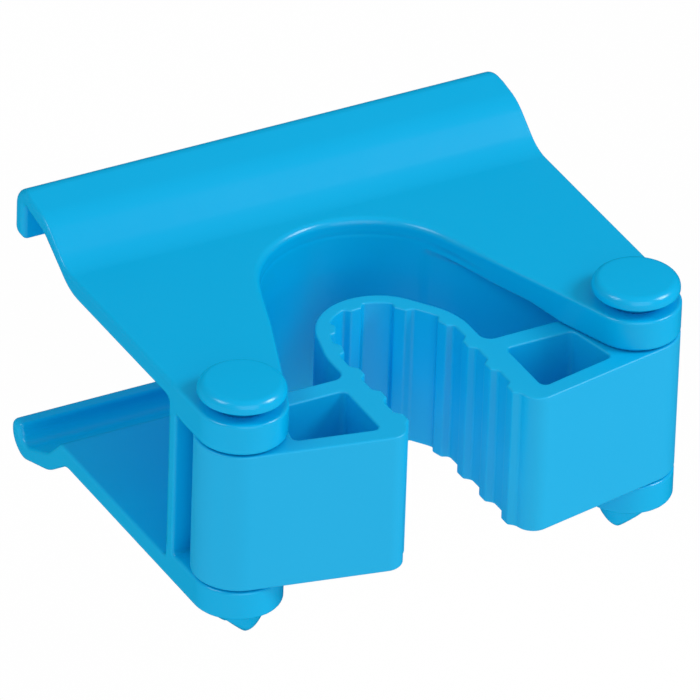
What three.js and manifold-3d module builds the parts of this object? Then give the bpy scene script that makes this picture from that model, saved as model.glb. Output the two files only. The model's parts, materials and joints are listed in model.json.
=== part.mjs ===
// A clip-on tool holder for a wall rail. A moulded bracket hooks over the rail behind it and
// holds, between its two plates, a soft grip band that turns on two snap-in pins. A handle
// pushed into the mouth presses the loop of the band back, which swings both jaws shut.
//
// Millimetres. +X runs along the rail, +Y points back to the wall and +Z is up. Outlines are
// drawn with x = 0 midway between the pins, y = 0 on the line of the pins and z = 0 on the
// underside of the lower plate. The finished group stands on z = 0, centred in plan.
import * as THREE from "three";
import { mergeVertices } from "three/addons/utils/BufferGeometryUtils.js";
import Module from "manifold-3d";

const wasm = await Module();
wasm.setup();

// Bracket: overall width at the back, and the round ears at the front of its plates.
const WIDTH = 82.6;
const EAR_R = 7.15;
const PIN_X = 33.85;
const NOTCH_R = 16.7; // back of the U cut into both plates
const NOTCH_Y = 22.3;
const BACK_Y = 61.2; // outer face of the two hook lips

// Bracket: heights of the plates, of the thicker rim round the U, and of the ears.
const TOP = 34.95;
const PLATE = 3.1;
const RIM = 4.3;
const EAR = 5.25;
const EAR_BACK_Y = 8.6;

// Bracket: the upright web that ties the plates together.
const WEB = 2;
const WEB_Y = 7.6; // front face, beside the pins
const WEB_BEND_X = 33; // where the web starts to bow back round the U
const WEB_BEND_R = 4;
const WEB_BED = 0.5; // how far the web runs into each plate

// Pins and the bores that they stand in.
const SHAFT_R = 4;
const HEAD_R = 6.85;
const HEAD_LOW = 36.6; // the pins stand at the top of their end play
const HEAD_TOP = 38.85;
const HEAD_EDGE_R = 1.5;
const HEAD_CROWN = 0.2;
const BARB_R = 4.75;
const BARB_LOW = -1.4; // where the barb starts to taper
const TIP_R = 2.9;
const TIP_Z = -5.5;
const SLOT_W = 1.8;
const SLOT_TOP = 7;
const SLOT_TURNS = { left: 20, right: -65 }; // degrees from the x axis
const CLEAR = 0.3; // running gap between neighbouring pieces
const JAW_BORE_R = SHAFT_R + 0.35;

// Grip band: wall, loop, jaws and the ribs that line them. The soft band settles a little to
// the left of the middle, and its crown leans a little further.
const BAND_X = -0.4;
const LOOP_R = 12.1;
const LOOP_Y = 11.6;
const CROWN_R = 10.1;
const CROWN_X = -1.3;
const CROWN_Y = 16.2;
const WALL = 2.2;
const GRIP_R = LOOP_R - WALL;
const NOSE_R = 3; // front inner corner of each jaw
const FRONT_Y = -11.45;
const NECK_R = 1.8;
const REAR_WALL_Y = 6.9;
const NECK_CUT_Y = 9.2; // where the loop ends and the jaws begin
const RIB_PITCH = 7.07;
const RIB_FRONT_Y = -6.8; // front rib of each jaw
const SIDE_RIBS = 4;
const CROWN_RIBS = [-62, -5, 53]; // degrees round the crown from straight back
const RIB_H = 1.05;
const RIB_W = 3.7; // at the foot
const RIB_TIP_W = 1.9;
const POCKET = { inner: 13.9, outer: 26.4, back: 3.5, front: -7.3, tilt: 1.9, lean: 1, r: 1 };

const ARC_STEP = THREE.MathUtils.degToRad(6);
const BIG = 200;

// --- outlines ------------------------------------------------------------------------------

// Closed outline that runs round a chain of circles [x, y, r] on their common tangents, as a
// belt does. r > 0 turns left, r < 0 turns right, and r = 0 is a sharp corner.
function belt(circles) {
  const heading = circles.map(([x, y, r], i) => {
    const [nx, ny, nr] = circles[(i + 1) % circles.length];
    return Math.atan2(ny - y, nx - x) + Math.asin((r - nr) / Math.hypot(nx - x, ny - y));
  });
  return circles.flatMap(([x, y, r], i) => {
    const start = heading.at(i - 1);
    let sweep = THREE.MathUtils.euclideanModulo(heading[i] - start, 2 * Math.PI);
    if (r < 0) sweep -= 2 * Math.PI;
    if (r === 0) return [new THREE.Vector2(x, y)];
    const steps = Math.max(1, Math.ceil(Math.abs(sweep) / ARC_STEP));
    return Array.from({ length: steps + 1 }, (_, k) => {
      const a = start + (sweep * k) / steps;
      return new THREE.Vector2(x + r * Math.sin(a), y - r * Math.cos(a));
    });
  });
}

// Closed outline through corners [x, y, r], each rounded off to its own radius r.
function rounded(corners) {
  return corners.flatMap(([x, y, r], i) => {
    const here = new THREE.Vector2(x, y);
    const side = (j) => new THREE.Vector2(...corners.at(j % corners.length)).sub(here).normalize();
    const before = side(i - 1);
    const after = side(i + 1);
    const half = Math.acos(THREE.MathUtils.clamp(before.dot(after), -1, 1)) / 2;
    if (r === 0) return [here];
    const centre = before.clone().add(after).setLength(r / Math.sin(half)).add(here);
    const foot = before.clone().multiplyScalar(r / Math.tan(half)).add(here).sub(centre);
    const sweep = Math.sign(after.cross(before)) * (Math.PI - 2 * half);
    const steps = Math.max(1, Math.ceil(Math.abs(sweep) / (2 * ARC_STEP)));
    return Array.from({ length: steps + 1 }, (_, k) =>
      foot.clone().rotateAround(new THREE.Vector2(), (sweep * k) / steps).add(centre),
    );
  });
}

const mirrored = (circles) => circles.map(([x, y, r]) => [-x, y, r]).reverse();
const shifted = (circles, by) => circles.map(([x, y, r]) => [x + by, y, r]);

// --- solids --------------------------------------------------------------------------------

function solid(geometry) {
  geometry.deleteAttribute("normal");
  geometry.deleteAttribute("uv");
  const merged = mergeVertices(geometry, 1e-4);
  return new wasm.Manifold(
    new wasm.Mesh({
      numProp: 3,
      vertProperties: merged.attributes.position.array,
      triVerts: new Uint32Array(merged.index.array),
    }),
  );
}

// A plan outline raised from z = low to z = high.
function upright(points, low, high) {
  const geometry = new THREE.ExtrudeGeometry(new THREE.Shape(points), {
    depth: high - low,
    bevelEnabled: false,
  });
  return solid(geometry.translate(0, 0, low));
}

// A side outline in (y, z), run along X across the whole width.
function across(points) {
  const geometry = new THREE.ExtrudeGeometry(new THREE.Shape(points), {
    depth: WIDTH,
    bevelEnabled: false,
  });
  const turn = new THREE.Matrix4().makeBasis(
    new THREE.Vector3(0, 1, 0),
    new THREE.Vector3(0, 0, 1),
    new THREE.Vector3(1, 0, 0),
  );
  return solid(geometry.applyMatrix4(turn).translate(-WIDTH / 2, 0, 0));
}

function block(x0, x1, y0, y1, z0, z1) {
  const geometry = new THREE.BoxGeometry(x1 - x0, y1 - y0, z1 - z0);
  return solid(geometry.translate((x0 + x1) / 2, (y0 + y1) / 2, (z0 + z1) / 2));
}

function rod(x, y, r, z0, z1) {
  const geometry = new THREE.CylinderGeometry(r, r, z1 - z0, 48).rotateX(Math.PI / 2);
  return solid(geometry.translate(x, y, (z0 + z1) / 2));
}

function lathe(profile, x) {
  const points = profile.map(([r, z]) => new THREE.Vector2(r, z));
  return solid(new THREE.LatheGeometry(points, 36).rotateX(Math.PI / 2).translate(x, 0, 0));
}

function piece(name, body, color, roughness) {
  const made = body.getMesh();
  const geometry = new THREE.BufferGeometry();
  geometry.setAttribute("position", new THREE.BufferAttribute(made.vertProperties, 3));
  geometry.setIndex(new THREE.BufferAttribute(made.triVerts, 1));
  geometry.computeVertexNormals();
  const material = new THREE.MeshStandardMaterial({ color, roughness, metalness: 0 });
  const mesh = new THREE.Mesh(geometry, material);
  mesh.name = name;
  return mesh;
}

// --- bracket -------------------------------------------------------------------------------

// Plan of both plates: straight sides, round ears, and the U that a handle passes through.
const platePlan = belt([
  [PIN_X, 0, EAR_R],
  [WIDTH / 2, BACK_Y + 1, 0],
  [-WIDTH / 2, BACK_Y + 1, 0],
  [-PIN_X, 0, EAR_R],
  [0, NOTCH_Y, -NOTCH_R],
]);

// The upper plate climbs over the rail's top lip and turns down behind it.
const upperProfile = rounded([
  [FRONT_Y, TOP, 0],
  [FRONT_Y, TOP - PLATE, 0],
  [42.6, TOP - PLATE, 9],
  [51.5, 37.6, 7],
  [58.1, 38.95, 0.8],
  [58.1, 32.4, 0.6],
  [BACK_Y, 32.4, 1.6],
  [BACK_Y, 41.75, 2.3],
  [51.2, 40.1, 9],
  [44.3, TOP, 8],
]);

// The lower plate dips under the rail's bottom lip and turns up behind it.
const lowerProfile = rounded([
  [FRONT_Y, PLATE, 0],
  [FRONT_Y, 0, 0],
  [42.9, 0, 4],
  [48.6, -4.2, 8],
  [BACK_Y, -8.25, 3.8],
  [BACK_Y, -1.4, 1.3],
  [58.3, -1.4, 0.8],
  [58.1, -5.2, 2.4],
  [49, -1.2, 6],
  [44.7, PLATE, 0.4],
]);
const LOWEST = Math.min(...lowerProfile.map((point) => point.y));

// Plan of everything in front of a line that follows the web, at a depth behind its front face.
function beforeWeb(depth) {
  const side = WIDTH / 2 + 1;
  const bendY = WEB_Y + WEB_BEND_R;
  const bendR = depth - WEB_BEND_R;
  return belt([
    [-side, FRONT_Y, 0],
    [side, FRONT_Y, 0],
    [side, WEB_Y + depth, 0],
    [WEB_BEND_X, bendY, bendR],
    [0, NOTCH_Y, NOTCH_R + depth],
    [-WEB_BEND_X, bendY, bendR],
    [-side, WEB_Y + depth, 0],
  ]);
}

function makeBracket() {
  const plan = upright(platePlan, -BIG, BIG);
  const rimArea = upright(beforeWeb(WEB / 2), -BIG, BIG).intersect(plan);
  const earArea = plan.intersect(block(-BIG, BIG, -BIG, EAR_BACK_Y, -BIG, BIG));
  const layer = (area, z0, z1) => area.intersect(block(-BIG, BIG, -BIG, BIG, z0, z1));
  const web = upright(beforeWeb(WEB), WEB_BED, TOP - WEB_BED)
    .subtract(upright(beforeWeb(0), -BIG, BIG))
    .intersect(plan);
  const parts = [
    across(lowerProfile).intersect(plan),
    layer(rimArea, 0, RIM),
    layer(rimArea, TOP - RIM, TOP),
    layer(earArea, 0, EAR - CLEAR),
    layer(earArea, TOP - EAR, TOP),
    web,
  ];
  const body = parts.reduce((sum, part) => sum.add(part), across(upperProfile).intersect(plan));
  return [-PIN_X, PIN_X].reduce(
    (sum, x) => sum.subtract(rod(x, 0, SHAFT_R + CLEAR, -BIG, BIG)),
    body,
  );
}

// --- grip band -----------------------------------------------------------------------------

const BAND_LOW = EAR;
const BAND_HIGH = TOP - EAR - CLEAR;

// Right half of the band's outline, drawn about its own middle.
const jawHalf = [
  [GRIP_R + NOSE_R, FRONT_Y + NOSE_R, NOSE_R],
  [PIN_X - BAND_X, 0, EAR_R],
  [LOOP_R + NECK_R, REAR_WALL_Y + NECK_R, -NECK_R],
];
const leftHalf = mirrored(jawHalf);
leftHalf[1] = [-PIN_X - BAND_X, 0, EAR_R];
const bandPlan = belt([
  ...shifted([...jawHalf, [0, LOOP_Y, LOOP_R]], BAND_X),
  [CROWN_X, CROWN_Y, CROWN_R],
  ...shifted([[0, LOOP_Y, LOOP_R], ...leftHalf, [0, LOOP_Y, -GRIP_R]], BAND_X),
  [CROWN_X, CROWN_Y, WALL - CROWN_R],
  [BAND_X, LOOP_Y, -GRIP_R],
]);

// Where each rib stands: its foot on the grip face, and the way that it points in degrees
// from straight forward. Side ribs run up both jaws and on round the flanks of the loop.
function ribPlaces() {
  const crown = CROWN_RIBS.map((degrees) => {
    const a = THREE.MathUtils.degToRad(degrees);
    const r = CROWN_R - WALL;
    return [CROWN_X + r * Math.sin(a), CROWN_Y + r * Math.cos(a), -a];
  });
  const sides = [-1, 1].flatMap((side) =>
    Array.from({ length: SIDE_RIBS }, (_, i) => {
      const y = RIB_FRONT_Y + i * RIB_PITCH;
      const a = Math.max(y - LOOP_Y, 0) / GRIP_R;
      const foot = Math.min(y, LOOP_Y) + GRIP_R * Math.sin(a);
      return [BAND_X + side * GRIP_R * Math.cos(a), foot, side * (a - Math.PI / 2)];
    }),
  );
  return [...crown, ...sides];
}

function makeRibs() {
  const profile = rounded([
    [-RIB_W / 2, -WALL / 2, 0],
    [RIB_W / 2, -WALL / 2, 0],
    [RIB_W / 2, 0, 0],
    [RIB_TIP_W / 2, RIB_H, 0.5],
    [-RIB_TIP_W / 2, RIB_H, 0.5],
    [-RIB_W / 2, 0, 0],
  ]);
  return ribPlaces().map(([x, y, turn]) => {
    const seat = new THREE.Matrix4()
      .makeTranslation(x, y, 0)
      .multiply(new THREE.Matrix4().makeRotationZ(turn + Math.PI));
    return upright(profile, BAND_LOW, BAND_HIGH).transform(seat.elements);
  });
}

const pocketPlan = (side) => {
  const { inner, outer, back, front, tilt, lean, r } = POCKET;
  const corners = rounded([
    [inner, front - tilt / 2, r],
    [outer + lean, front + tilt, r],
    [outer - lean, back, r],
    [inner, back, r],
  ]);
  const placed = corners.map((p) => new THREE.Vector2(side * p.x + BAND_X, p.y));
  return side > 0 ? placed : placed.reverse();
};

function makeBand() {
  const solidBand = makeRibs().reduce(
    (sum, rib) => sum.add(rib),
    upright(bandPlan, BAND_LOW, BAND_HIGH),
  );
  const hollow = [-1, 1].flatMap((side) => [
    upright(pocketPlan(side), -BIG, BIG),
    rod(side * PIN_X, 0, JAW_BORE_R, -BIG, BIG),
  ]);
  const band = hollow.reduce((sum, hole) => sum.subtract(hole), solidBand);
  const cut = CLEAR / 2;
  return {
    loop: band.intersect(block(-BIG, BIG, NECK_CUT_Y + cut, BIG, -BIG, BIG)),
    left: band.intersect(block(-BIG, 0, -BIG, NECK_CUT_Y - cut, -BIG, BIG)),
    right: band.intersect(block(0, BIG, -BIG, NECK_CUT_Y - cut, -BIG, BIG)),
  };
}

// --- pins ----------------------------------------------------------------------------------

// Round head above the upper ear, plain shaft, and a barbed tip split by a slot so that its
// two prongs spring together on the way through and open under the lower ear.
function makePin(x, slotTurn) {
  const edge = Array.from({ length: 6 }, (_, k) => {
    const a = (k / 5) * (Math.PI / 2);
    const z = HEAD_TOP - HEAD_CROWN - HEAD_EDGE_R * (1 - Math.sin(a));
    return [HEAD_R - HEAD_EDGE_R * (1 - Math.cos(a)), z];
  });
  const profile = [
    [0, TIP_Z],
    [TIP_R, TIP_Z],
    [BARB_R, BARB_LOW],
    [BARB_R, -2 * CLEAR],
    [SHAFT_R, -CLEAR],
    [SHAFT_R, HEAD_LOW],
    [HEAD_R, HEAD_LOW],
    ...edge,
    [0, HEAD_TOP],
  ];
  const slot = block(-BIG, BIG, -SLOT_W / 2, SLOT_W / 2, -BIG, SLOT_TOP);
  return lathe(profile, x).subtract(slot.rotate([0, 0, slotTurn]).translate([x, 0, 0]));
}

// --- assembly ------------------------------------------------------------------------------

const BRACKET_BLUE = 0x0a9fd8;
const BAND_BLUE = 0x1b9bd2;
const band = makeBand();
const holder = new THREE.Group();
holder.name = "rail_tool_holder";
holder.add(
  piece("bracket", makeBracket(), BRACKET_BLUE, 0.35),
  piece("grip_loop", band.loop, BAND_BLUE, 0.5),
  piece("left_jaw", band.left, BAND_BLUE, 0.5),
  piece("right_jaw", band.right, BAND_BLUE, 0.5),
  piece("left_pin", makePin(-PIN_X, SLOT_TURNS.left), BRACKET_BLUE, 0.3),
  piece("right_pin", makePin(PIN_X, SLOT_TURNS.right), BRACKET_BLUE, 0.3),
);
holder.position.set(0, -(FRONT_Y + BACK_Y) / 2, -LOWEST);

export default holder;
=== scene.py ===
import json
import logging
import math
from dataclasses import dataclass
from enum import Enum
from typing import Any, Callable, ClassVar

import bmesh
import bpy
import numpy as np
from mathutils import Matrix, Vector


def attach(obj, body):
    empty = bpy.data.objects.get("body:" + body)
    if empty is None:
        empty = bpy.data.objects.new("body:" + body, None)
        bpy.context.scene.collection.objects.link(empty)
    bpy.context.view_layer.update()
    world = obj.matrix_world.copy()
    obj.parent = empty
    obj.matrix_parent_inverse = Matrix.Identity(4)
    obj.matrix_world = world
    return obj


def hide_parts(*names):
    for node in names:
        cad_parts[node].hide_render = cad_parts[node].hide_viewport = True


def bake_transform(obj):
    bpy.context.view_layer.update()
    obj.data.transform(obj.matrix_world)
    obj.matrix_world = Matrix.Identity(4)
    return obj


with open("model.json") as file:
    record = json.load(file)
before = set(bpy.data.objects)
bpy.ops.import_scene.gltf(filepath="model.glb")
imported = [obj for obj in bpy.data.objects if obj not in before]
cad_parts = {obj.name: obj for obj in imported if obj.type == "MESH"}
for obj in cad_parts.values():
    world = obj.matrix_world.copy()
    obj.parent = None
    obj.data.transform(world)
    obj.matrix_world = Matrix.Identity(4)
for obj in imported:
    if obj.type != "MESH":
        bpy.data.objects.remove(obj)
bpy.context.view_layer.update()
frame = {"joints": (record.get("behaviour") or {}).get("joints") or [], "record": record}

log = logging.getLogger("rail_tool_holder")
Grid = np.ndarray
MM = 0.001
SHARP = 0.001  # radius of a corner that is drawn sharp, in millimetres
FAR = 30.0  # how far an outline runs on past the piece that it cuts, in millimetres


# --- shapes --------------------------------------------------------------------------------


@dataclass(frozen=True)
class Outline:
    """A closed flat outline of straight lines and true arcs, drawn round circles like a belt.

    Each pulley is (u, v, r): the line turns left round a positive radius and right round a
    negative one. Material lies to the left of the line.
    """

    pulleys: tuple[tuple[float, float, float], ...]

    @classmethod
    def through(cls, *corners: tuple[float, float, float]) -> "Outline":
        """Makes the outline through corners, each rounded off to its own radius.

        Args:
            corners: (u, v, radius) of each corner, anticlockwise round the material.

        Returns:
            The outline, with one pulley for each corner.
        """
        pulleys = []
        for i, (u, v, radius) in enumerate(corners):
            here = Vector((u, v))
            before = (Vector(corners[i - 1][:2]) - here).normalized()
            after = (Vector(corners[(i + 1) % len(corners)][:2]) - here).normalized()
            turn = 1 if after.x * before.y - after.y * before.x > 0 else -1
            half = math.acos(max(-1.0, min(1.0, before.dot(after)))) / 2
            reach = max(radius, SHARP) / math.sin(half)
            centre = here + (before + after).normalized() * reach
            pulleys.append((centre.x, centre.y, turn * max(radius, SHARP)))
        return cls(tuple(pulleys))

    def _headings(self) -> list[float]:
        """Direction of the straight line that leaves each pulley, in radians."""
        following = self.pulleys[1:] + self.pulleys[:1]
        return [
            math.atan2(nv - v, nu - u) + math.asin((r - nr) / math.hypot(nu - u, nv - v))
            for (u, v, r), (nu, nv, nr) in zip(self.pulleys, following)
        ]

    def distance(self, u: Grid, v: Grid) -> Grid:
        """Signed distance to the outline.

        Args:
            u: First coordinate of each point.
            v: Second coordinate, of a shape that broadcasts with u.

        Returns:
            Distance of each point, negative inside the outline.
        """
        headings = self._headings()
        best = np.full(np.broadcast_shapes(u.shape, v.shape), np.inf)

        def keep(inside_span: Grid, value: Grid) -> None:
            """Takes value where its line or arc faces the point and is the nearest."""
            nearer = inside_span & (np.abs(value) < np.abs(best))
            best[nearer] = np.broadcast_to(value, best.shape)[nearer]

        for i, (cu, cv, r) in enumerate(self.pulleys):
            start, end = headings[i - 1], headings[i]
            side = math.copysign(1.0, r)
            sweep = (side * (end - start)) % (2 * math.pi)
            du, dv = u - cu, v - cv
            angle = np.arctan2(side * du, -side * dv)
            keep((side * (angle - start)) % (2 * math.pi) <= sweep, side * np.hypot(du, dv) - r)
            nu, nv, nr = self.pulleys[(i + 1) % len(self.pulleys)]
            along = Vector((math.cos(end), math.sin(end)))
            across = Vector((math.sin(end), -math.cos(end)))
            first = Vector((cu, cv)) + across * r
            length = (Vector((nu, nv)) + across * nr - first).length
            du, dv = u - first.x, v - first.y
            t = du * along.x + dv * along.y
            keep((t >= 0) & (t <= length), du * across.x + dv * across.y)
        return best


@dataclass(frozen=True)
class Solid:
    """A shape held as its signed distance in millimetres, negative inside."""

    distance: Callable[[Grid, Grid, Grid], Grid]

    def __invert__(self) -> "Solid":
        """Everything outside this solid."""
        return Solid(lambda x, y, z: -self.distance(x, y, z))

    def __or__(self, other: "Solid") -> "Solid":
        """Both solids joined, with a crisp inner corner."""
        return Solid(lambda x, y, z: np.minimum(self.distance(x, y, z), other.distance(x, y, z)))

    def __and__(self, other: "Solid") -> "Solid":
        """What both solids share, with a crisp edge."""
        return Solid(lambda x, y, z: np.maximum(self.distance(x, y, z), other.distance(x, y, z)))

    def __sub__(self, other: "Solid") -> "Solid":
        """This solid with the other cut away, with a crisp edge."""
        return self & ~other

    def joined(self, other: "Solid", fillet: float) -> "Solid":
        """Both solids joined, with a fillet of that radius in the inner corner."""

        def distance(x: Grid, y: Grid, z: Grid) -> Grid:
            """Distance to the joined pair."""
            a, b = self.distance(x, y, z), other.distance(x, y, z)
            corner = np.hypot(np.maximum(fillet - a, 0), np.maximum(fillet - b, 0))
            return np.maximum(fillet, np.minimum(a, b)) - corner

        return Solid(distance)

    def within(self, other: "Solid", rounding: "float | Callable[[Grid, Grid], Grid]") -> "Solid":
        """What both solids share, with the edge rounded.

        Args:
            other: The solid to share with.
            rounding: Radius of the edge, the same everywhere or worked out from x and y.

        Returns:
            The shared part.
        """

        def distance(x: Grid, y: Grid, z: Grid) -> Grid:
            """Distance to the shared part."""
            r = rounding(x, y) if callable(rounding) else rounding
            a, b = self.distance(x, y, z), other.distance(x, y, z)
            corner = np.hypot(np.maximum(r + a, 0), np.maximum(r + b, 0))
            return np.minimum(-r, np.maximum(a, b)) + corner

        return Solid(distance)

    def gradient(self, points: Grid, step: float = 0.002) -> Grid:
        """Slope of the distance at each point, by central differences."""
        columns = []
        for axis in range(3):
            ahead, behind = points.copy(), points.copy()
            ahead[:, axis] += step
            behind[:, axis] -= step
            columns.append((self.distance(*ahead.T) - self.distance(*behind.T)) / (2 * step))
        return np.stack(columns, 1)


def upright(outline: Outline) -> Solid:
    """A plan outline in (x, y), endless in z."""
    return Solid(lambda x, y, z: outline.distance(x, y))


def across(outline: Outline) -> Solid:
    """A side outline in (y, z), endless in x."""
    return Solid(lambda x, y, z: outline.distance(y, z))


def turned(outline: Outline, x0: float) -> Solid:
    """A half outline in (radius, z), turned round the upright axis at (x0, 0)."""
    return Solid(lambda x, y, z: outline.distance(np.hypot(x - x0, y), z))


def slab(low: float, high: float, axis: int = 2) -> Solid:
    """Everything between two parallel planes across one axis."""
    return Solid(lambda *p: np.abs(p[axis] - (low + high) / 2) - (high - low) / 2)


def post(x0: float, y0: float, radius: float) -> Solid:
    """An endless upright cylinder."""
    return Solid(lambda x, y, z: np.hypot(x - x0, y - y0) - radius)


def ball(x0: float, z0: float, radius: float) -> Solid:
    """A ball centred on the line of the pins."""
    return Solid(lambda x, y, z: np.sqrt((x - x0) ** 2 + y**2 + (z - z0) ** 2) - radius)


# --- meshes --------------------------------------------------------------------------------


def rungs(start: float, *spans: tuple[float, float]) -> Grid:
    """Grid lines from a start through spans of (end, greatest step)."""
    lines = [np.array([start])]
    for end, step in spans:
        count = math.ceil((end - start) / step)
        lines.append(np.linspace(start, end, count + 1)[1:])
        start = end
    return np.concatenate(lines)


@dataclass(frozen=True)
class Lattice:
    """The three sets of grid lines on which a solid's skin is found."""

    x: Grid
    y: Grid
    z: Grid

    PROJECTIONS: ClassVar[int] = 5
    CORNERS: ClassVar[tuple[tuple[int, int, int], ...]] = tuple(
        (i, j, k) for i in (0, 1) for j in (0, 1) for k in (0, 1)
    )

    def _near(self, values: Grid, corner: tuple[int, int, int]) -> Grid:
        """The values at one corner of every cell."""
        return values[tuple(slice(c, n - 1 + c) for c, n in zip(corner, values.shape))]

    def skin(self, solid: Solid) -> tuple[Grid, Grid]:
        """Finds the solid's surface: one point in each crossed cell, drawn onto the solid.

        Args:
            solid: The shape to skin, which must lie inside the lattice.

        Returns:
            Points, and faces of four point numbers each that turn outwards.
        """
        sizes = (len(self.x), len(self.y), len(self.z))
        mesh = (self.x[:, None, None], self.y[None, :, None], self.z[None, None, :])
        values = np.array(np.broadcast_to(solid.distance(*mesh), sizes))
        filled = values < 0
        count = sum(self._near(filled, c).astype(np.int8) for c in self.CORNERS)
        crossed = (count > 0) & (count < 8)
        number = np.full(crossed.shape, -1)
        number[crossed] = np.arange(int(crossed.sum()))
        points = self._start_points(values, crossed)
        for _ in range(self.PROJECTIONS):
            slope = solid.gradient(points)
            size = np.maximum((slope**2).sum(1), 0.05)
            points -= slope * (solid.distance(*points.T) / size)[:, None]
        return points, self._faces(filled, number)

    def _start_points(self, values: Grid, crossed: Grid) -> Grid:
        """The middle of the surface's crossings with each crossed cell's twelve edges."""
        cell = np.argwhere(crossed)
        low = np.stack([self.x[cell[:, 0]], self.y[cell[:, 1]], self.z[cell[:, 2]]], 1)
        steps = [np.diff(lines)[cell[:, axis]] for axis, lines in enumerate((self.x, self.y, self.z))]
        total, hits = np.zeros_like(low), np.zeros(len(low))
        for axis in range(3):
            for corner in (c for c in self.CORNERS if c[axis] == 0):
                far = tuple(1 if a == axis else c for a, c in enumerate(corner))
                a = self._near(values, corner)[crossed]
                b = self._near(values, far)[crossed]
                cut = (a < 0) != (b < 0)
                along = np.where(cut, a / np.where(cut, a - b, 1), 0)
                place = low + np.stack([steps[i] * corner[i] for i in range(3)], 1)
                place[:, axis] += along * steps[axis]
                total += place * cut[:, None]
                hits += cut
        return total / hits[:, None]

    def _faces(self, filled: Grid, number: Grid) -> Grid:
        """One face of four cells round each grid edge that the surface crosses."""
        faces = []
        for axis in range(3):
            solid_at = np.moveaxis(filled, axis, 0)
            cells = np.moveaxis(number, axis, 0)
            enters, leaves = ~solid_at[:-1] & solid_at[1:], solid_at[:-1] & ~solid_at[1:]
            ring = [cells[:, :-1, :-1], cells[:, 1:, :-1], cells[:, 1:, 1:], cells[:, :-1, 1:]]
            if axis == 1:
                ring.reverse()
            for crossing, order in ((leaves, 1), (enters, -1)):
                inner = crossing[:, 1:-1, 1:-1]
                faces.append(np.stack([corner[inner] for corner in ring[::order]], 1))
        return np.concatenate(faces)


@dataclass(frozen=True)
class Site:
    """Where the drawing's origin stands in the row frame: midway between the pins."""

    y: float
    z: float

    FLATNESS: ClassVar[float] = math.radians(0.4)

    @classmethod
    def from_frame(cls) -> "Site":
        """Reads the pins' line and the lower plate's inner face from the record."""
        joint = next(j for j in frame["joints"] if j["name"] == "left_pin_turn")
        mount = next(m for m in frame["record"]["mounts"] if m["name"] == "lower_rail_face")
        return cls(joint["pos_m"][1], mount["pos_m"][2] - Sizes.plate * MM)

    def point(self, x: float, y: float, z: float) -> Vector:
        """A drawn point in millimetres, as metres in the row frame."""
        return Vector((x * MM, y * MM + self.y, z * MM + self.z))

    def moulding(
        self, name: str, solid: Solid, lattice: Lattice, half: int = 0
    ) -> bpy.types.Object:
        """Makes a smooth-shaded object from a solid.

        Args:
            name: Name of the new object.
            solid: Its shape, in drawn millimetres.
            lattice: Grid lines to skin it on.
            half: 1 or -1 keeps only that side of x = 0, closed there; 0 keeps all.

        Returns:
            The object, linked to the scene, with normals taken from the solid.
        """
        points, faces = lattice.skin(solid)
        mesh = bpy.data.meshes.new(name)
        mesh.from_pydata(points.tolist(), [], faces.tolist())
        work = bmesh.new()
        work.from_mesh(mesh)
        if half:
            self._halve(work, half)
        bmesh.ops.dissolve_limit(
            work, angle_limit=self.FLATNESS, verts=work.verts[:], edges=work.edges[:]
        )
        bmesh.ops.triangulate(work, faces=[f for f in work.faces if len(f.verts) > 4])
        work.to_mesh(mesh)
        work.free()
        drawn = np.array([v.co for v in mesh.vertices], float)
        normals = solid.gradient(drawn, 0.01)
        normals /= np.maximum(np.linalg.norm(normals, axis=1), 1e-9)[:, None]
        mesh.polygons.foreach_set("use_smooth", [True] * len(mesh.polygons))
        mesh.transform(Matrix.Translation(self.point(0, 0, 0)) @ Matrix.Scale(MM, 4))
        mesh.normals_split_custom_set_from_vertices(normals.tolist())
        made = bpy.data.objects.new(name, mesh)
        bpy.context.scene.collection.objects.link(made)
        log.info("%s: %d points, %d faces", name, len(mesh.vertices), len(mesh.polygons))
        return made

    @staticmethod
    def _halve(work: bmesh.types.BMesh, side: int) -> None:
        """Cuts a mesh at x = 0, drops the other side and closes the cut."""
        everything = work.verts[:] + work.edges[:] + work.faces[:]
        cut = bmesh.ops.bisect_plane(
            work, geom=everything, dist=1e-4, plane_co=(0, 0, 0), plane_no=(-side, 0, 0),
            clear_outer=True,
        )
        rim = [e for e in cut["geom_cut"] if isinstance(e, bmesh.types.BMEdge)]
        bmesh.ops.holes_fill(work, edges=[e for e in rim if e.is_boundary], sides=0)


# --- finishes ------------------------------------------------------------------------------


class Socket:
    """An output or a number in a node tree, with arithmetic that adds Math nodes."""

    def __init__(self, shader: "Shader", source: Any) -> None:
        """Wraps a node's output socket."""
        self.shader = shader
        self.source = source

    def _math(self, operation: str, *values: Any) -> "Socket":
        """A Math node of that operation on the values."""
        return self.shader.node("ShaderNodeMath", {"operation": operation}, dict(enumerate(values)))

    def __add__(self, other: Any) -> "Socket":
        """Sum with a socket or number."""
        return self._math("ADD", self, other)

    __radd__ = __add__

    def __mul__(self, other: Any) -> "Socket":
        """Product with a socket or number."""
        return self._math("MULTIPLY", self, other)

    __rmul__ = __mul__

    def __sub__(self, other: Any) -> "Socket":
        """This less the other."""
        return self._math("SUBTRACT", self, other)

    def __rsub__(self, other: Any) -> "Socket":
        """The other less this."""
        return self._math("SUBTRACT", other, self)

    def clamped(self) -> "Socket":
        """Held between 0 and 1."""
        return self.shader.node("ShaderNodeClamp", {}, {"Value": self})

    def stepped(self, low: float, high: float) -> "Socket":
        """0 under low, 1 over high, and smooth between them."""
        return self.shader.node(
            "ShaderNodeMapRange",
            {"interpolation_type": "SMOOTHSTEP"},
            {"Value": self, "From Min": low, "From Max": high},
        )


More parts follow.
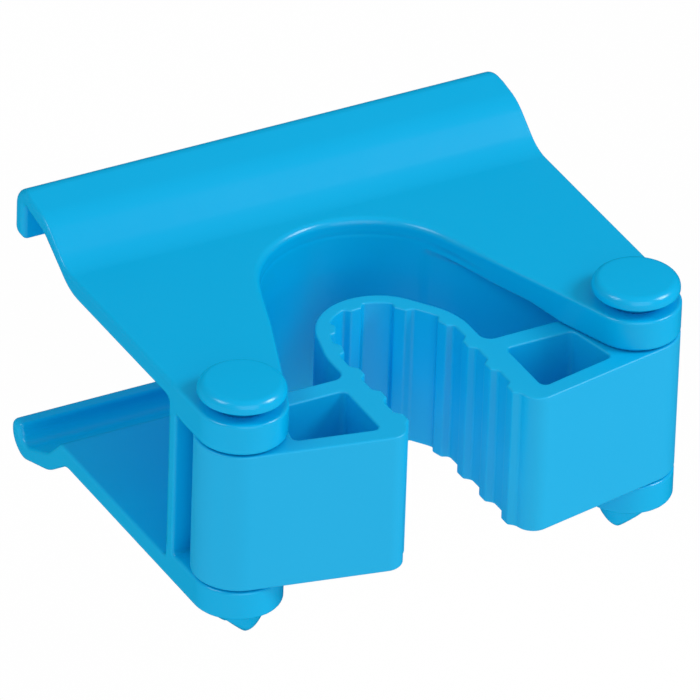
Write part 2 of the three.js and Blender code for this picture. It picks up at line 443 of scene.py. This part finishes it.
class Shader:
    """A material under construction."""

    def __init__(self, name: str) -> None:
        """Starts an empty material with an output and a Principled surface."""
        self.material = bpy.data.materials.new(name)
        self.material.use_nodes = True
        self.tree = self.material.node_tree
        self.tree.nodes.clear()
        self.output = self.tree.nodes.new("ShaderNodeOutputMaterial")
        self.surface = self.tree.nodes.new("ShaderNodeBsdfPrincipled")
        self.tree.links.new(self.surface.outputs[0], self.output.inputs["Surface"])

    def node(
        self, kind: str, settings: dict[str, Any], inputs: dict[Any, Any], output: Any = 0
    ) -> Socket:
        """Adds a node.

        Args:
            kind: Blender's type name of the node.
            settings: Its own options, set before any input.
            inputs: Value or Socket for each input, by name or number.
            output: Name or number of the output to give back.

        Returns:
            That output, ready for arithmetic.
        """
        made = self.tree.nodes.new(kind)
        for option, value in settings.items():
            setattr(made, option, value)
        for key, value in inputs.items():
            self.feed(made, key, value)
        return Socket(self, made.outputs[output])

    def feed(self, node: bpy.types.Node, key: Any, value: Any) -> None:
        """Sets or links one input of a node."""
        if isinstance(value, Socket):
            self.tree.links.new(value.source, node.inputs[key])
        else:
            node.inputs[key].default_value = value

    def place(self) -> Socket:
        """Position on the piece, in metres."""
        return self.node("ShaderNodeTexCoord", {}, {}, "Object")

    def noise(self, scale: float, detail: float = 2.0, rough: float = 0.5) -> Socket:
        """Smooth noise of that many waves to the metre, from 0 to 1."""
        inputs = {"Vector": self.place(), "Scale": scale, "Detail": detail, "Roughness": rough}
        return self.node("ShaderNodeTexNoise", {}, inputs)

    def blend(self, amount: Socket, low: tuple, high: tuple) -> Socket:
        """A colour between two, by an amount from 0 to 1."""
        inputs = {0: amount, 6: low, 7: high}
        return self.node("ShaderNodeMix", {"data_type": "RGBA"}, inputs, 2)

    def bump(self, height: Socket, distance: float, under: Any = None) -> Socket:
        """A normal raised by a height, over another normal if one is given."""
        inputs = {"Height": height, "Distance": distance, "Strength": 1.0}
        if under is not None:
            inputs["Normal"] = under
        return self.node("ShaderNodeBump", {}, inputs)

    def surface_set(self, **values: Any) -> None:
        """Sets the surface's inputs, written with underscores for spaces."""
        for key, value in values.items():
            self.feed(self.surface, key.replace("_", " "), value)


class Resin(Enum):
    """The resins that the holder is moulded from, by the record's material slot."""

    BRACKET = "bracket_plastic"
    PIN = "pin_plastic"
    GRIP = "grip_rubber"


@dataclass(frozen=True)
class MouldedFinish:
    """Dyed moulded plastic: even colour, a faint flow mottle and a fine skin."""

    resin: Resin
    colour: tuple[float, float, float]
    deep: tuple[float, float, float]
    roughness: float
    roughness_spread: float
    skin_waves: float
    skin_depth: float
    ripple_depth: float
    specular: float

    FLOW_WAVES: ClassVar[float] = 45.0
    CLOUD_WAVES: ClassVar[float] = 14.0
    FLOW_SHARE: ClassVar[float] = 0.6

    def material(self) -> bpy.types.Material:
        """Builds the material."""
        shader = Shader(self.resin.value)
        flow = shader.noise(self.FLOW_WAVES, detail=3.0, rough=0.55)
        cloud = shader.noise(self.CLOUD_WAVES)
        fine = shader.noise(self.skin_waves, detail=3.0, rough=0.6)
        mottle = (flow * self.FLOW_SHARE + cloud * (1 - self.FLOW_SHARE)).clamped()
        tint = shader.blend(mottle, (*self.deep, 1.0), (*self.colour, 1.0))
        grain = shader.bump(fine, self.skin_depth)
        skin = shader.bump(flow + cloud, self.ripple_depth, grain)
        spread = self.roughness_spread
        rough = self.roughness + spread * (flow - 0.5) + spread * (fine - 0.5)
        shader.surface_set(
            Base_Color=tint, Roughness=rough.clamped(), Normal=skin,
            Specular_IOR_Level=self.specular,
        )
        return shader.material


def dress(piece: bpy.types.Object, material: bpy.types.Material) -> None:
    """Gives a piece its material."""
    piece.data.materials.clear()
    piece.data.materials.append(material)


# --- pieces --------------------------------------------------------------------------------


class Sizes:
    """Driving sizes of the holder that more than one piece needs, in millimetres."""

    width = 82.6
    ear_r = 7.15
    pin_x = 33.85
    top = 34.95
    plate = 3.1
    ear = 5.25
    shaft_r = 4.0
    gap = 0.3
    front = -11.45
    band_low = ear
    band_high = top - ear - gap


@dataclass
class Bracket:
    """The moulded bracket: two hooked plates with ears, tied by an upright web."""

    site: Site
    notch_r: float = 16.7
    notch_y: float = 22.3
    back: float = 61.2
    rim: float = 4.3
    ear_back: float = 8.6
    web: float = 2.0
    web_y: float = 7.6
    web_bend_x: float = 33.0
    web_bend_r: float = 4.0
    edge_r: float = 0.5
    soft_edge_r: float = 1.1
    parting_z: float = 25.8
    draft: float = 0.022
    bed: float = 0.3
    rim_fillet: float = 0.6
    web_fillet: float = 1.6
    root_fillet: float = 0.4
    u_fillet: float = 0.5
    bore_edge_r: float = 0.25
    ramp_front: float = 3.0
    ramp_back: float = 5.0
    ramp_r: float = 4.0
    u_fade: float = 4.0
    u_fade_y: tuple[float, float] = (18.0, 26.0)
    lip_fade_y: tuple[float, float] = (56.0, 59.0)
    u_wall_y: float = 31.0
    u_wall_stock: float = 4.0

    def _plan(self) -> Solid:
        """Plan of both plates, with the U's wall drafted either way from the parting line."""
        beyond = self.back + 1
        outline = Outline((
            (Sizes.pin_x, 0, Sizes.ear_r), (Sizes.width / 2, beyond, SHARP),
            (-Sizes.width / 2, beyond, SHARP), (-Sizes.pin_x, 0, Sizes.ear_r),
            (0, self.notch_y, -self.notch_r),
        ))

        def distance(x: Grid, y: Grid, z: Grid) -> Grid:
            """Distance to the drafted plan."""
            slope = self.draft * self._beside_u(x, y)
            return outline.distance(x, y) + slope * np.abs(z - self.parting_z)

        return Solid(distance)

    def _beside_u(self, x: Grid, y: Grid) -> Grid:
        """1 along the round of the U, falling to 0 away from it and down its straight sides."""
        off = np.abs(np.hypot(x, y - self.notch_y) - self.notch_r)
        return np.clip(1.5 - off / self.u_fade, 0, 1) * self._rise(y, self.u_fade_y)

    @staticmethod
    def _rise(y: Grid, span: tuple[float, float]) -> Grid:
        """0 in front of a span of y, 1 behind it, and straight between."""
        return np.clip((y - span[0]) / (span[1] - span[0]), 0, 1)

    def _edge(self, x: Grid, y: Grid) -> Grid:
        """Radius of the plates' edges, which are softer round the U and along the hook lips."""
        soft = np.maximum(self._beside_u(x, y), self._rise(y, self.lip_fade_y))
        return self.edge_r + (self.soft_edge_r - self.edge_r) * soft

    def _upper_sheet(self) -> Solid:
        """The upper plate, which climbs over the rail's lip and turns down behind it."""
        under = Sizes.top - Sizes.plate
        return across(Outline.through(
            (-FAR, Sizes.top, 0), (-FAR, under, 0), (42.6, under, 9), (51.5, 37.6, 7),
            (58.1, 38.95, 0.8), (58.1, 32.4, 0.6), (self.back, 32.4, 1.6),
            (self.back, 41.75, 3.2), (51.2, 40.1, 9), (44.3, Sizes.top, 8),
        ))

    def _lower_sheet(self) -> Solid:
        """The lower plate, which dips under the rail's lip and turns up behind it."""
        return across(Outline.through(
            (-FAR, Sizes.plate, 0), (-FAR, 0, 0), (42.9, 0, 4), (48.6, -4.2, 8),
            (self.back, -8.25, 3.8), (self.back, -1.4, 1.3), (58.3, -1.4, 0.8),
            (58.1, -5.2, 2.4), (49, -1.2, 6), (44.7, Sizes.plate, 1.5),
        ))

    def _before_web(self, depth: float) -> Solid:
        """Everything in front of a line that follows the web at a depth behind its face."""
        bend_y, bend_r = self.web_y + self.web_bend_r, self.web_bend_r - depth
        side = Sizes.width / 2 + FAR
        return upright(Outline((
            (-side, -FAR, SHARP), (side, -FAR, SHARP), (side, self.web_y + depth, SHARP),
            (self.web_bend_x, bend_y, -bend_r), (0, self.notch_y, self.notch_r + depth),
            (-self.web_bend_x, bend_y, -bend_r), (-side, self.web_y + depth, SHARP),
        )))

    def _between_plates(self) -> Solid:
        """The room between the plates, and a little way into each of them."""
        return slab(Sizes.plate - self.bed, Sizes.top - Sizes.plate + self.bed)

    def _web(self, front: float) -> Solid:
        """The upright web, from a depth behind its front face to its rear face."""
        return (self._before_web(self.web) - self._before_web(front)) & self._between_plates()

    def _u_wall(self) -> Solid:
        """The stretch of web that is flush with the U, thick enough for the plan to trim."""
        outer = post(0, self.notch_y, self.notch_r + self.web)
        tube = outer - post(0, self.notch_y, self.notch_r - self.u_wall_stock)
        return tube & self._between_plates() & slab(self.u_wall_y, self.back + FAR, axis=1)

    def _ears(self, skin: float, face: float, rim: float) -> Solid:
        """Ears from a plate's skin to their inner face, which runs out into the rim behind."""
        corners = (
            (-FAR, skin, 0), (-FAR, face, 0), (self.ear_back - self.ramp_front, face, self.ramp_r),
            (self.ear_back + self.ramp_back, rim, 0), (self.ear_back + self.ramp_back, skin, 0),
        )
        ramp = across(Outline.through(*corners[:: 1 if skin > face else -1]))
        ahead = slab(-FAR, self.ear_back, axis=1)
        return ramp & (ahead | self._before_web(self.web / 2))

    def solid(self) -> Solid:
        """The whole moulding."""
        top, inner = Sizes.top, Sizes.plate - self.bed
        rim_area = self._before_web(self.web / 2)
        upper = self._upper_sheet().joined(
            rim_area & slab(top - self.rim, top - inner), self.rim_fillet
        )
        upper = upper | self._ears(top - inner, top - Sizes.ear, top - self.rim + self.bed)
        lower = self._lower_sheet().joined(rim_area & slab(inner, self.rim), self.rim_fillet)
        lower = lower | self._ears(inner, Sizes.ear - Sizes.gap, self.rim - self.bed)
        body = (upper | lower).joined(self._web(self.web / 2), self.web_fillet)
        body = body.joined(self._web(0), self.root_fillet).joined(self._u_wall(), self.u_fillet)
        body = self._plan().within(body, self._edge)
        for side in (-1, 1):
            bore = post(side * Sizes.pin_x, 0, Sizes.shaft_r + Sizes.gap)
            body = body.within(~bore, self.bore_edge_r)
        return body

    def build(self) -> bpy.types.Object:
        """Makes the bracket and sets it on its body."""
        # Grid lines lie close together where there are edges and fillets.
        half = Sizes.width / 2
        lattice = Lattice(
            x=rungs(-half - 0.4, (-half + 2, 0.3), (half - 2, 0.45), (half + 0.4, 0.3)),
            y=rungs(-7.8, (41, 0.45), (62, 0.4)),
            z=rungs(-7.4, (6.2, 0.31), (24.6, 2.6), (27, 0.4), (29.2, 1.1), (41.8, 0.31)),
        )
        made = self.site.moulding("bracket_moulding", self.solid(), lattice)
        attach(made, "bracket")
        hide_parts("bracket")
        return made


@dataclass
class GripBand:
    """The flexible band: two hollow jaws joined by a ribbed loop, in one moulding."""

    site: Site
    shift: float = -0.4
    loop_r: float = 12.1
    loop_y: float = 11.6
    crown: tuple[float, float, float] = (-1.3, 16.2, 10.1)
    wall: float = 2.2
    nose_r: float = 3.0
    neck_r: float = 1.8
    rear: float = 6.9
    rib_pitch: float = 7.07
    rib_front: float = -6.8
    side_ribs: int = 4
    crown_ribs: tuple[float, ...] = (-62.0, -5.0, 53.0)
    rib_height: float = 1.05
    rib_width: float = 3.7
    rib_tip: float = 1.9
    rib_tip_r: float = 0.5
    rib_fillet: float = 0.3
    pocket_r: float = 1.0
    bore_gap: float = 0.35
    edge_r: float = 0.35
    bend_from: float = 15.5
    bend_to: float = 6.0

    @property
    def grip_r(self) -> float:
        """Radius of the loop's inner face, between the ribs."""
        return self.loop_r - self.wall

    def _body(self) -> Solid:
        """The band's plan without ribs or hollows."""
        nose_y, neck_y = Sizes.front + self.nose_r, self.rear + self.neck_r
        jaws = []
        for side in (1, -1):
            nose = (self.shift + side * (self.grip_r + self.nose_r), nose_y, self.nose_r)
            end = (side * Sizes.pin_x, 0, Sizes.ear_r)
            neck = (self.shift + side * (self.loop_r + self.neck_r), neck_y, -self.neck_r)
            jaws.append((nose, end, neck)[::side])
        loop, (crown_x, crown_y, crown_r) = (self.shift, self.loop_y), self.crown
        return upright(Outline((
            *jaws[0], (*loop, self.loop_r), self.crown, (*loop, self.loop_r), *jaws[1],
            (*loop, -self.grip_r), (crown_x, crown_y, self.wall - crown_r),
            (*loop, -self.grip_r),
        )))

    def _rib_places(self) -> list[tuple[float, float, float]]:
        """Foot and turn of each rib: round the crown, then up both jaws and the loop's sides."""
        crown_x, crown_y, crown_r = self.crown
        places = []
        for degrees in self.crown_ribs:
            a, r = math.radians(degrees), crown_r - self.wall
            places.append((crown_x + r * math.sin(a), crown_y + r * math.cos(a), math.pi - a))
        for i in range(self.side_ribs):
            y = self.rib_front + i * self.rib_pitch
            a = max(y - self.loop_y, 0) / self.grip_r
            foot = min(y, self.loop_y) + self.grip_r * math.sin(a)
            for side in (-1, 1):
                x = self.shift + side * self.grip_r * math.cos(a)
                places.append((x, foot, math.pi + side * (a - math.pi / 2)))
        return places

    def _ribs(self) -> list[Solid]:
        """The upright ribs that line the grip face."""
        half, tip, foot = self.rib_width / 2, self.rib_tip / 2, -self.wall / 2
        outline = Outline.through(
            (-half, foot, 0), (half, foot, 0), (half, 0, 0),
            (tip, self.rib_height, self.rib_tip_r), (-tip, self.rib_height, self.rib_tip_r),
            (-half, 0, 0),
        )
        return [self._rib(outline, *place) for place in self._rib_places()]

    @staticmethod
    def _rib(outline: Outline, x0: float, y0: float, turn: float) -> Solid:
        """One rib, turned and set at a point of the grip face."""
        c, s = math.cos(turn), math.sin(turn)
        return Solid(lambda x, y, z: outline.distance(
            (x - x0) * c + (y - y0) * s, (y - y0) * c - (x - x0) * s
        ))

    def _pocket(self, side: int) -> Solid:
        """The open hollow of one jaw."""
        corners = ((13.9, -8.25), (27.4, -5.4), (25.4, 3.5), (13.9, 3.5))
        outline = Outline.through(*((*corner, self.pocket_r) for corner in corners))
        return Solid(lambda x, y, z: outline.distance(side * (x - self.shift), y))

    def solid(self) -> Solid:
        """The whole band."""
        plan = self._body()
        for rib in self._ribs():
            plan = plan.joined(rib, self.rib_fillet)
        for side in (-1, 1):
            bore = post(side * Sizes.pin_x, 0, Sizes.shaft_r + self.bore_gap)
            plan = plan - self._pocket(side) - bore
        return plan.within(slab(Sizes.band_low, Sizes.band_high), self.edge_r)

    def build(self) -> list[bpy.types.Object]:
        """Makes the band in two halves that meet in the middle of the loop."""
        half, inner = Sizes.width / 2, self.loop_r + 2
        low, high = Sizes.band_low, Sizes.band_high
        lattice = Lattice(
            x=rungs(-half - 0.3, (-inner, 0.5), (inner, 0.27), (half + 0.3, 0.5)),
            y=rungs(-12, (27, 0.28)),
            z=rungs(low - 0.2, (low + 0.5, 0.14), (high - 0.5, 6), (high + 0.2, 0.14)),
        )
        solid = self.solid()
        halves = []
        for side, word in ((-1, "left"), (1, "right")):
            made = self.site.moulding(f"grip_band_{word}", solid, lattice, half=side)
            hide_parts("grip_loop", f"{word}_jaw")
            self.site.point(0, self.bend_from, 0)
            self.site.point(0, self.bend_to, 0)
            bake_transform(made)
            halves.append(made)
        return halves


@dataclass
class SnapPin:
    """A pin with a flat round head, a plain shaft and a tip split into two pointed prongs."""

    site: Site
    word: str
    side: int
    slot_facing: float
    head_r: float = 6.85
    head_low: float = 36.6
    head_top: float = 38.85
    head_edge: float = 1.4
    crown_r: float = 117.0
    barb_r: float = 4.75
    barb_low: float = -1.4
    barb_top: float = -0.6
    barb_shoulder: float = -0.35
    tip_r: float = 2.9
    tip_z: float = -5.5
    prong_x: float = 2.0
    prong_r: float = 0.5
    edge_r: float = 0.2
    neck_fillet: float = 0.3
    slot: float = 1.8
    slot_top: float = 7.0

    def _head(self, x0: float) -> Solid:
        """The head, with a slightly crowned top and a soft edge."""
        rim = turned(Outline.through(
            (-FAR, self.head_low, 0), (self.head_r, self.head_low, 0.35),
            (self.head_r, self.head_top + FAR, 0), (-FAR, self.head_top + FAR, 0),
        ), x0)
        return rim.within(ball(x0, self.head_top - self.crown_r, self.crown_r), self.head_edge)

    def _prongs(self, x0: float) -> Solid:
        """Two blunt upright cones of 45 degrees, one to either side of the slot."""
        c, s = math.cos(self.slot_facing), math.sin(self.slot_facing)

        def distance(x: Grid, y: Grid, z: Grid) -> Grid:
            """Distance to the nearer cone."""
            off = np.abs((x - x0) * c + y * s) - self.prong_x
            beside = y * c - (x - x0) * s
            reach = np.sqrt(off**2 + beside**2 + self.prong_r**2) - self.prong_r
            return (reach - (z - self.tip_z)) * math.sqrt(0.5)

        return Solid(distance)

    def solid(self) -> Solid:
        """The whole pin."""
        x0 = self.side * Sizes.pin_x
        shaft, below_tip, into_head = Sizes.shaft_r, self.tip_z - 0.2, self.head_low + 1
        stem = turned(Outline.through(
            (-FAR, below_tip, 0), (self.tip_r, below_tip, 0),
            (self.barb_r, self.barb_low, 0.5), (self.barb_r, self.barb_top, 0.2),
            (shaft, self.barb_shoulder, 0),
            (shaft, into_head, 0), (-FAR, into_head, 0),
        ), x0)
        stem = stem.within(self._prongs(x0), self.edge_r)
        c, s = math.cos(self.slot_facing), math.sin(self.slot_facing)
        cut = Solid(lambda x, y, z: np.maximum(
            np.abs((x - x0) * c + y * s) - self.slot / 2, z - self.slot_top
        ))
        return stem.within(~cut, self.edge_r).joined(self._head(x0), self.neck_fillet)

    def build(self) -> bpy.types.Object:
        """Makes the pin and sets it on its body."""
        x0 = self.side * Sizes.pin_x
        reach = self.head_r + 0.3
        lattice = Lattice(
            x=rungs(x0 - reach, (x0 + reach, 0.3)),
            y=rungs(-reach, (reach, 0.3)),
            z=rungs(-6, (1, 0.27), (6.4, 2), (7.6, 0.3), (36, 9), (39.1, 0.22)),
        )
        made = self.site.moulding(f"snap_pin_{self.word}", self.solid(), lattice)
        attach(made, f"{self.word}_pin")
        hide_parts(f"{self.word}_pin")
        return made


# --- studio --------------------------------------------------------------------------------


@dataclass(frozen=True)
class SoftBox:
    """A square area light that looks at the holder."""

    name: str
    azimuth: float
    elevation: float
    distance: float
    size: float
    watts: float


@dataclass
class Studio:
    """A lit white table, soft lights and the camera."""

    site: Site
    azimuth: float = -29.057
    elevation: float = 32.556
    roll: float = 1.96
    distance: float = 1.923
    sensor: float = 36.0
    lens: float = 665.9
    aim: tuple[float, float, float] = (-26.73, -20.09, 53.72)
    room_light: float = 0.5
    lit_point: tuple[float, float, float] = (0, 25, 15)
    floor_half: float = 3.0
    boxes: tuple[SoftBox, ...] = (
        SoftBox("left", azimuth=-93, elevation=48, distance=0.9, size=0.3, watts=1.3),
        SoftBox("right", azimuth=56, elevation=40, distance=0.9, size=0.3, watts=3.1),
        SoftBox("fill", azimuth=-12, elevation=28, distance=1.1, size=0.9, watts=2.2),
    )

    def _frame(self, azimuth: float, elevation: float) -> Vector:
        """Unit vector from the holder towards a direction in the room."""
        a, e = math.radians(azimuth), math.radians(elevation)
        return Vector((math.sin(a) * math.cos(e), -math.cos(a) * math.cos(e), math.sin(e)))

    def camera(self) -> bpy.types.Object:
        """Makes the camera and looks through it."""
        data = bpy.data.cameras.new("camera")
        data.sensor_width, data.lens = self.sensor, self.lens
        data.clip_start, data.clip_end = 0.1, 20
        made = bpy.data.objects.new("camera", data)
        bpy.context.scene.collection.objects.link(made)
        back = self._frame(self.azimuth, self.elevation)
        level = back.to_track_quat("Z", "Y").to_matrix().to_4x4()
        level = level @ Matrix.Rotation(math.radians(self.roll), 4, "Z")
        level.translation = self.site.point(*self.aim) + back * self.distance
        made.matrix_world = level
        bpy.context.scene.camera = made
        return made

    def lights(self) -> None:
        """Sets the soft boxes and the room's own light."""
        target = self.site.point(*self.lit_point)
        for box in self.boxes:
            data = bpy.data.lights.new(box.name, "AREA")
            data.size, data.energy = box.size, box.watts
            made = bpy.data.objects.new(box.name, data)
            bpy.context.scene.collection.objects.link(made)
            way = self._frame(box.azimuth, box.elevation)
            made.location = target + way * box.distance
            made.rotation_mode = "QUATERNION"
            made.rotation_quaternion = way.to_track_quat("Z", "Y")
        world = bpy.data.worlds.new("room")
        world.use_nodes = True
        world.node_tree.nodes["Background"].inputs["Color"].default_value = (1, 1, 1, 1)
        world.node_tree.nodes["Background"].inputs["Strength"].default_value = self.room_light
        bpy.context.scene.world = world
        world.cycles_visibility.glossy = False
        bpy.context.scene.view_settings.view_transform = "Standard"

    def floor(self) -> None:
        """Lays the white table, lit from within, that the holder stands on."""
        half = self.floor_half
        mesh = bpy.data.meshes.new("floor")
        corners = [(-half, -half, 0), (half, -half, 0), (half, half, 0), (-half, half, 0)]
        mesh.from_pydata(corners, [], [(0, 1, 2, 3)])
        made = bpy.data.objects.new("floor", mesh)
        bpy.context.scene.collection.objects.link(made)
        shader = Shader("table_glow")
        shade = shader.noise(6.0).stepped(0.2, 0.8)
        glow = shader.blend(shade, (0.99, 0.99, 0.99, 1), (1.0, 1.0, 1.0, 1))
        shader.surface_set(
            Base_Color=(0, 0, 0, 1), Roughness=0.9, Specular_IOR_Level=0.0,
            Emission_Color=glow, Emission_Strength=1.0,
        )
        mesh.materials.append(shader.material)
        made.visible_glossy = False

    def build(self) -> None:
        """Sets up the whole studio."""
        self.camera()
        self.lights()
        self.floor()


# --- assembly ------------------------------------------------------------------------------

BRACKET_FINISH = MouldedFinish(
    Resin.BRACKET, colour=(0.0, 0.465, 0.84), deep=(0.0, 0.445, 0.82), roughness=0.24,
    roughness_spread=0.05, skin_waves=2600.0, skin_depth=0.000006, ripple_depth=0.00012,
    specular=0.5,
)
PIN_FINISH = MouldedFinish(
    Resin.PIN, colour=(0.0, 0.465, 0.84), deep=(0.0, 0.445, 0.82), roughness=0.22,
    roughness_spread=0.05, skin_waves=2600.0, skin_depth=0.000005, ripple_depth=0.0001,
    specular=0.5,
)
GRIP_FINISH = MouldedFinish(
    Resin.GRIP, colour=(0.0, 0.46, 0.83), deep=(0.0, 0.44, 0.81), roughness=0.38,
    roughness_spread=0.06, skin_waves=3200.0, skin_depth=0.00001, ripple_depth=0.0001,
    specular=0.4,
)


def main() -> None:
    """Builds the holder and its studio."""
    logging.basicConfig(level=logging.INFO)
    site = Site.from_frame()
    Studio(site).build()
    bracket_skin, pin_skin, grip_skin = (
        finish.material() for finish in (BRACKET_FINISH, PIN_FINISH, GRIP_FINISH)
    )
    dress(Bracket(site).build(), bracket_skin)
    for half in GripBand(site).build():
        dress(half, grip_skin)
    for word, side, facing in (("left", -1, 110), ("right", 1, 25)):
        dress(SnapPin(site, word, side, math.radians(facing)).build(), pin_skin)


if __name__ == "__main__":
    main()
